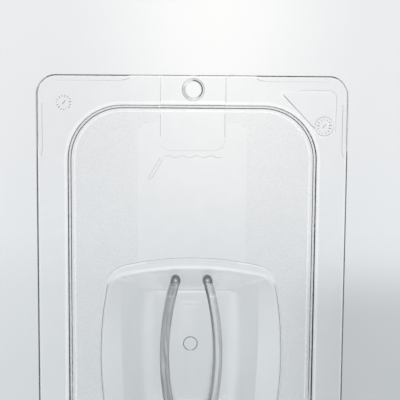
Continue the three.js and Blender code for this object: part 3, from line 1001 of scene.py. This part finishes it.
def build():
    # The shell, bowl, collar and rail looks carry painted shade, and the collar and rail looks also painted
    # highlights
    shell_look = clear_plastic("clear_shell", grained=True, shade=rim_edge_painted_shade)
    insert_look = clear_plastic("clear_gloss")
    bowl_look = clear_plastic("clear_bowl_painted_shade", shade=bowl_painted_shade)
    collar_look = clear_plastic("clear_collar_painted_shade", shade=collar_painted_shade)
    rail_looks = {side: clear_plastic("clear_rail_painted_shade", shade=rail_painted_shade(side)) for side in (-1, 1)}

    shell = cut(cover_skin(SHOULDER_ROUND), ledge_cutter(), "DIFFERENCE")
    cut(shell, notch_prism(NOTCH_SEAM), "DIFFERENCE")
    cut(shell, pad(), "UNION")
    cut(shell, shell_marks(), "DIFFERENCE")
    shell.name = "cover_shell_visual"
    insert = cover_skin(INSERT_SHOULDER_ROUND)
    insert.name = "notch_insert_visual"
    cut(insert, notch_prism(0), "INTERSECT")
    cut(insert, round_hole(COLLAR_RADIUS + SEAM), "DIFFERENCE")
    cut(insert, insert_marks(), "DIFFERENCE")
    bowl = finger_bowl()
    cut(bowl, gate_ring(), "DIFFERENCE")
    cut(bowl, bowl_lines(), "DIFFERENCE")
    pieces = [
        (shell, "cover_shell", shell_look, "clear_shell"),
        (insert, "notch_insert", insert_look, "clear_gloss"),
        (hanging_collar(), "hanging_hole_collar", collar_look, "clear_gloss"),
        (bowl, "finger_bowl", bowl_look, "clear_shell"),
        (grip_rail(-1), "grip_rail_left", rail_looks[-1], "clear_gloss"),
        (grip_rail(1), "grip_rail_right", rail_looks[1], "clear_gloss"),
    ]
    for piece, node, look, slot in pieces:
        smooth(piece)
        piece.data.materials.clear()
        piece.data.materials.append(look)
        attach(piece, "root")
        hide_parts(node)


# ----------------------------------------------------------------------------------------------------------
# The stage: floor, light and camera
# ----------------------------------------------------------------------------------------------------------

CAMERA_AIM = Vector((4.25 * MM, 91.97 * MM, RIM_TOP))
CAMERA_DISTANCE = 590 * MM
CAMERA_TILT_X = math.radians(-1.86)
CAMERA_TILT_Y = math.radians(6.99)
CAMERA_ROLL = math.radians(0.44)
CAMERA_LENS = 94.0
CAMERA_SENSOR = 36.0


def camera():
    data = bpy.data.cameras.new("camera")
    data.lens = CAMERA_LENS
    data.sensor_width = CAMERA_SENSOR
    made = bpy.data.objects.new("camera", data)
    bpy.context.scene.collection.objects.link(made)
    back = Vector((math.tan(CAMERA_TILT_X), math.tan(CAMERA_TILT_Y), 1)).normalized()
    right = Vector((0, 1, 0)).cross(back).normalized()
    up = back.cross(right)
    turned = Matrix((
        right * math.cos(CAMERA_ROLL) + up * math.sin(CAMERA_ROLL),
        up * math.cos(CAMERA_ROLL) - right * math.sin(CAMERA_ROLL),
        back,
    )).transposed()
    made.matrix_world = Matrix.Translation(CAMERA_AIM + back * CAMERA_DISTANCE) @ turned.to_4x4()
    bpy.context.scene.camera = made


# The floor's glow is painted light: it goes from the near end of the cover to the far end, down its middle and
# down its sides. It fades to a plain level further out, and has painted shade near the lower right corner
GLOW_NEAR, GLOW_FAR = -20 * MM, 180 * MM
GLOW_MIDDLE_X = 14 * MM
GLOW_HALF_WIDTH = 100 * MM
GLOW_STRENGTH = 1.03
GLOW_FADE = mm(230, 420)
GLOW_AWAY = (0.70, 0.715, 0.725)
GLOW_CORNER_X = mm(40, 95)
GLOW_CORNER_Y = mm(15, 60)
GLOW_CORNER_PAINTED_SHADE = 0.24
GLOW_MIDDLE = (
    (0.0, (0.555, 0.59, 0.61)),
    (0.27, (0.61, 0.64, 0.66)),
    (0.45, (0.69, 0.71, 0.725)),
    (0.6, (0.77, 0.785, 0.79)),
    (0.8, (0.84, 0.85, 0.85)),
    (1.0, (0.86, 0.865, 0.855)),
)
GLOW_SIDES = (
    (0.0, (0.555, 0.59, 0.61)),
    (0.27, (0.60, 0.63, 0.65)),
    (0.45, (0.68, 0.70, 0.72)),
    (0.6, (0.69, 0.71, 0.73)),
    (0.8, (0.71, 0.72, 0.735)),
    (1.0, (0.715, 0.725, 0.74)),
)

# How light the floor is for the light that falls on it, how far it reaches, and its gap below the cover
MATT_SHARE = 0.06
FLOOR_REACH = 2.5
FLOOR_DROP = 0.2 * MM

# The backdrop where the camera sees it directly, and the light from all round as (upwards share of its direction,
# strength), from the horizon and below it (0) to straight overhead (1)
BACKDROP = (0.8, 0.82, 0.83, 1)
SKY = (
    (0.0, 0.10),
    (0.3, 0.2),
    (0.48, 1.4),
    (0.62, 2.7),
    (0.82, 2.3),
    (0.92, 0.9),
    (1.0, 0.85),
)


def floor():
    """A pale glowing table top whose glow is painted light: brightest under the hanging hole, and darker towards
    its sides and near end.
    """
    corners = [(x * FLOOR_REACH, y * FLOOR_REACH, 0) for x, y in ((-1, -1), (1, -1), (1, 1), (-1, 1))]
    made = mesh_object("floor", corners, [(0, 1, 2, 3)])
    made.location.z = -FLOOR_DROP
    material = bpy.data.materials.new("floor")
    material.use_nodes = True
    n = Nodes(material.node_tree)
    n.tree.nodes.clear()
    x, y, _ = n.place()
    along = n.span(y, GLOW_NEAR, GLOW_FAR)
    aside = n.span(n.math("ABSOLUTE", n.math("SUBTRACT", x, GLOW_MIDDLE_X)), 0.0, GLOW_HALF_WIDTH, smooth=True)
    colour = n.mixed(aside, n.ramp(along, GLOW_MIDDLE), n.ramp(along, GLOW_SIDES))
    corner = n.math("MULTIPLY", n.span(x, *GLOW_CORNER_X, smooth=True),
                    n.span(y, *GLOW_CORNER_Y, 1.0, 0.0, smooth=True))
    level = n.math("SUBTRACT", 1.0, n.math("MULTIPLY", corner, GLOW_CORNER_PAINTED_SHADE))
    away = n.span(n.length(x, y), *GLOW_FADE, smooth=True)
    glow = n.add("ShaderNodeEmission")
    n.put(n.mixed(away, n.tinted(colour, level), (*GLOW_AWAY, 1)), glow.inputs["Color"])
    glow.inputs["Strength"].default_value = GLOW_STRENGTH
    matt = n.add("ShaderNodeBsdfDiffuse")
    matt.inputs["Color"].default_value = (*[MATT_SHARE] * 3, 1)
    both = n.add("ShaderNodeAddShader")
    n.put(glow.outputs[0], both.inputs[0])
    n.put(matt.outputs[0], both.inputs[1])
    n.put(both.outputs[0], n.add("ShaderNodeOutputMaterial").inputs["Surface"])
    made.data.materials.append(material)


def world():
    """Studio light from all round: dark at the horizon, brightest well above it and calm overhead."""
    made = bpy.data.worlds.new("studio")
    bpy.context.scene.world = made
    made.use_nodes = True
    n = Nodes(made.node_tree)
    way = n.add("ShaderNodeSeparateXYZ")
    n.put(n.add("ShaderNodeTexCoord").outputs["Generated"], way.inputs[0])
    peak = max(strength for _, strength in SKY)
    light = n.ramp(way.outputs["Z"], [(height, strength / peak) for height, strength in SKY])
    sky = n.tree.nodes["Background"]
    n.put(n.tinted(light, peak), sky.inputs["Color"])
    pale = n.add("ShaderNodeBackground")
    n.put(BACKDROP, pale.inputs["Color"])
    mix = n.add("ShaderNodeMixShader")
    n.put(n.add("ShaderNodeLightPath").outputs["Is Camera Ray"], mix.inputs["Fac"])
    n.put(sky.outputs[0], mix.inputs[1])
    n.put(pale.outputs[0], mix.inputs[2])
    n.put(mix.outputs[0], n.tree.nodes["World Output"].inputs["Surface"])


build()
floor()
world()
camera()
bpy.context.scene.view_settings.view_transform = "Standard"
